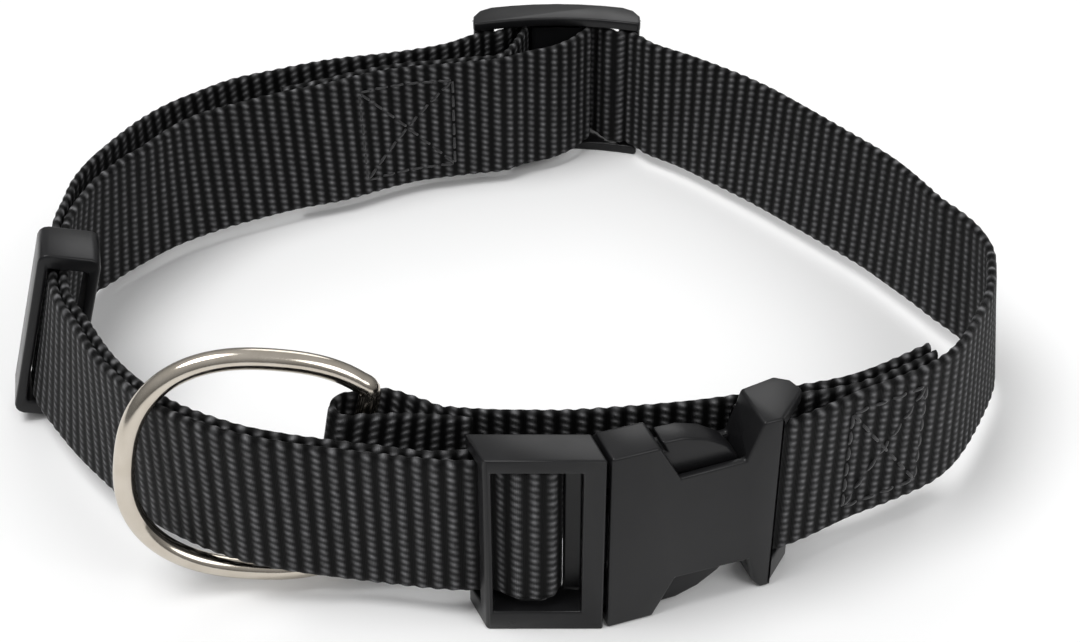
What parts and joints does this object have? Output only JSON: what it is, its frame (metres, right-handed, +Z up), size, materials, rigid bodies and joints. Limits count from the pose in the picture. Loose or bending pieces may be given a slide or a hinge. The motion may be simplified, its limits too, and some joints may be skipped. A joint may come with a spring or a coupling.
{
  "type": "dog collar",
  "caption": "Adjustable dog collar of black webbing with a side-release buckle, a D-ring, an adjusting slide and a strap keeper, closed and standing on edge.",
  "frame": {"origin": "under the middle of the collar's box, on the surface that it stands on", "axes": "+X to the right as seen facing the buckle, +Y from the buckle to the slide, +Z up"},
  "size_m": [0.1642, 0.1384, 0.04],
  "materials": {
    "webbing": "ribbed woven polypropylene, matt with a slight sheen",
    "plastic": "moulded acetal, satin",
    "metal": "nickel-plated steel wire, bright"
  },
  "bodies": {
    "collar": {"main_strap": "webbing", "d_ring_strap": "webbing", "buckle_male": "plastic", "buckle_female": "plastic", "strap_slide": "plastic", "strap_keeper": "plastic"},
    "ring": {"d_ring": "metal"}
  },
  "joints": [
    {"name": "d_ring_swing", "type": "hinge", "parent": "collar", "child": "ring", "pos_m": [-0.02083, -0.0553, 0.0181], "axis": [0.1639, 0.1965, 0.9667], "range_deg": [0, 90]}
  ]
}
